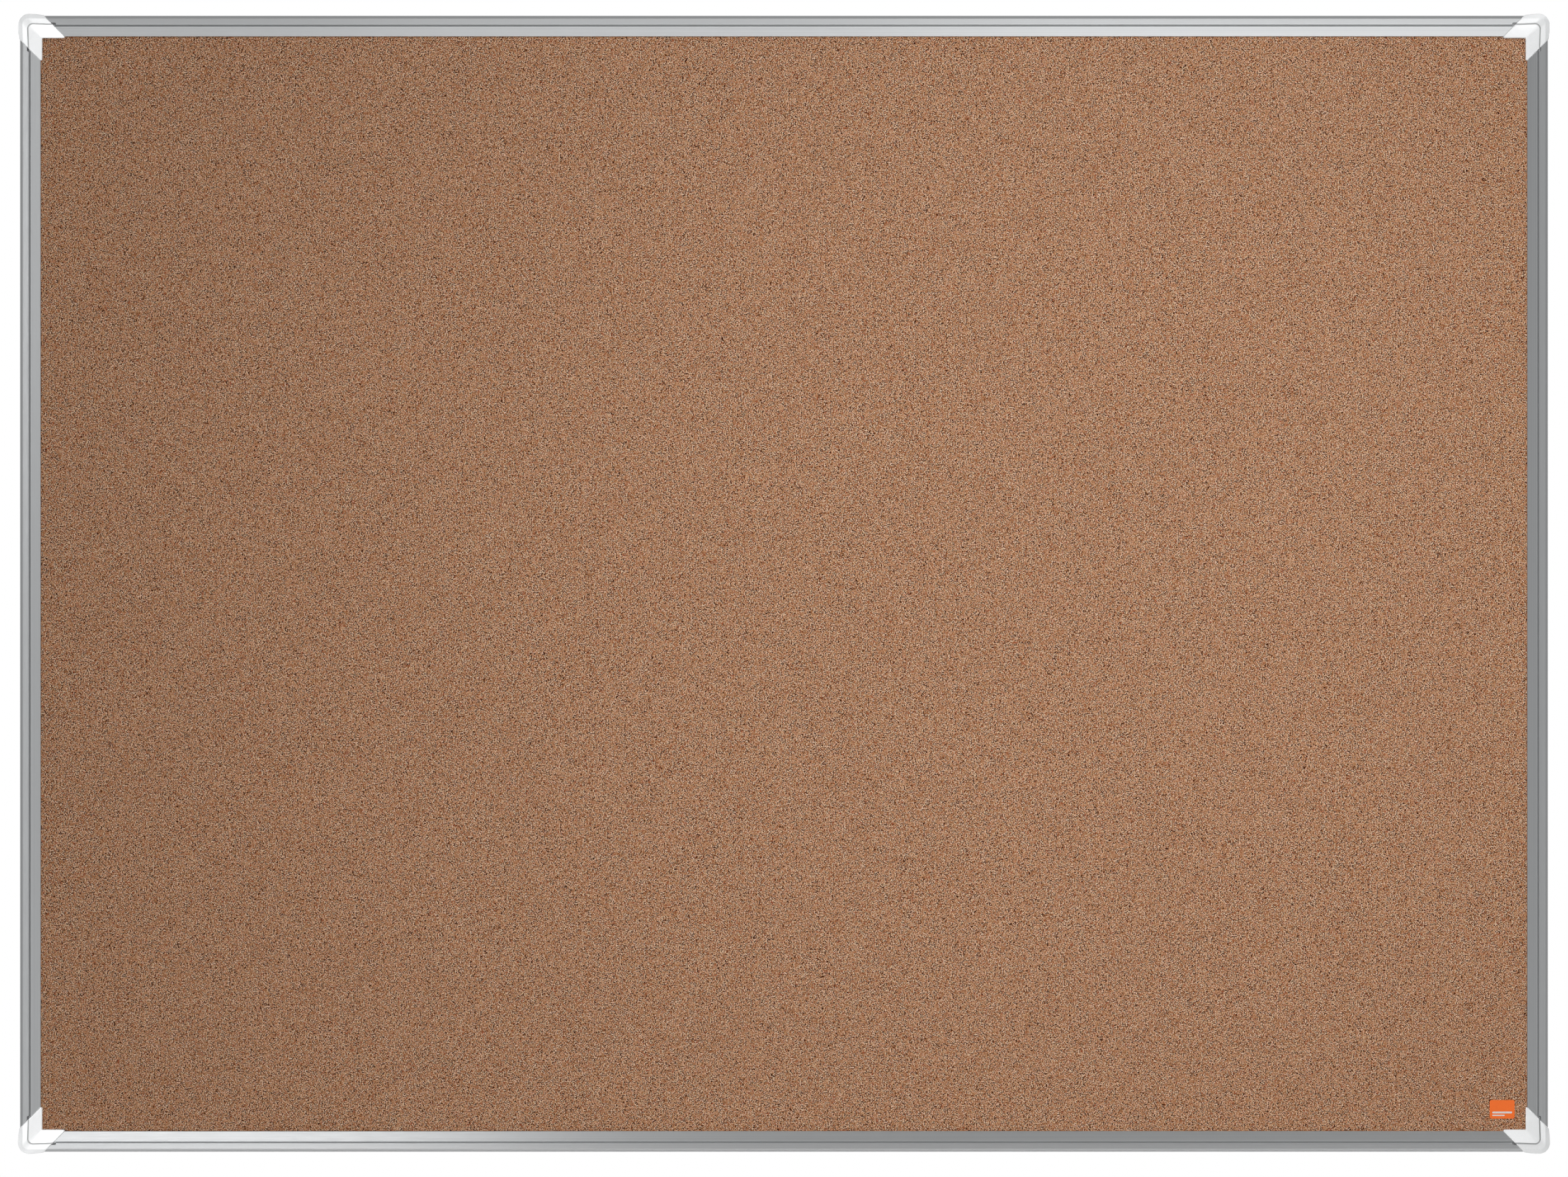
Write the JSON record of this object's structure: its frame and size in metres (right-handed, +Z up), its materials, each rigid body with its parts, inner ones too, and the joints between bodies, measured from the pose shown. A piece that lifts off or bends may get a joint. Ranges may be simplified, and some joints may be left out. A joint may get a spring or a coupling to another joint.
{
  "type": "cork bulletin board",
  "caption": "Framed cork pin board for a wall: aluminium rails with a lengthwise groove, rounded pull-off plastic corner caps over the wall screws, granulated cork face.",
  "frame": {"origin": "centre of the four wall-screw holes, on the plane of the wall", "axes": "+X to the right of a viewer who faces the cork, +Y into the wall, +Z up; the cork faces -Y"},
  "size_m": [1.207, 0.0157, 0.898],
  "materials": {
    "cork": "granulated cork, matt",
    "softboard": "pressed fibre board, matt",
    "galvanised_steel": "hot-dip zinc with faint spangle",
    "anodised_aluminium": "satin silver anodised, fine streaks along the extrusion",
    "bracket_plastic": "mid grey moulded, lightly textured",
    "cap_plastic": "pale grey white moulded, satin",
    "screw_steel": "bright zinc plated",
    "label_vinyl": "printed vinyl, semi-gloss"
  },
  "bodies": {
    "board": {"cork_sheet": "cork", "softboard_core": "softboard", "backing_sheet": "galvanised_steel", "rail_bottom": "anodised_aluminium", "rail_top": "anodised_aluminium", "rail_left": "anodised_aluminium", "rail_right": "anodised_aluminium", "corner_bracket_bottom_left": "bracket_plastic", "corner_bracket_bottom_right": "bracket_plastic", "corner_bracket_top_left": "bracket_plastic", "corner_bracket_top_right": "bracket_plastic", "rail_screws": "screw_steel", "label": "label_vinyl"},
    "cap_bottom_left": {"corner_cap_bottom_left": "cap_plastic"},
    "cap_bottom_right": {"corner_cap_bottom_right": "cap_plastic"},
    "cap_top_left": {"corner_cap_top_left": "cap_plastic"},
    "cap_top_right": {"corner_cap_top_right": "cap_plastic"}
  },
  "joints": [
    {"name": "cap_bottom_left_pull", "type": "slide", "parent": "board", "child": "cap_bottom_left", "axis": [0, -1, 0], "range_m": [0, 0.025]},
    {"name": "cap_bottom_right_pull", "type": "slide", "parent": "board", "child": "cap_bottom_right", "axis": [0, -1, 0], "range_m": [0, 0.025]},
    {"name": "cap_top_left_pull", "type": "slide", "parent": "board", "child": "cap_top_left", "axis": [0, -1, 0], "range_m": [0, 0.025]},
    {"name": "cap_top_right_pull", "type": "slide", "parent": "board", "child": "cap_top_right", "axis": [0, -1, 0], "range_m": [0, 0.025]}
  ]
}
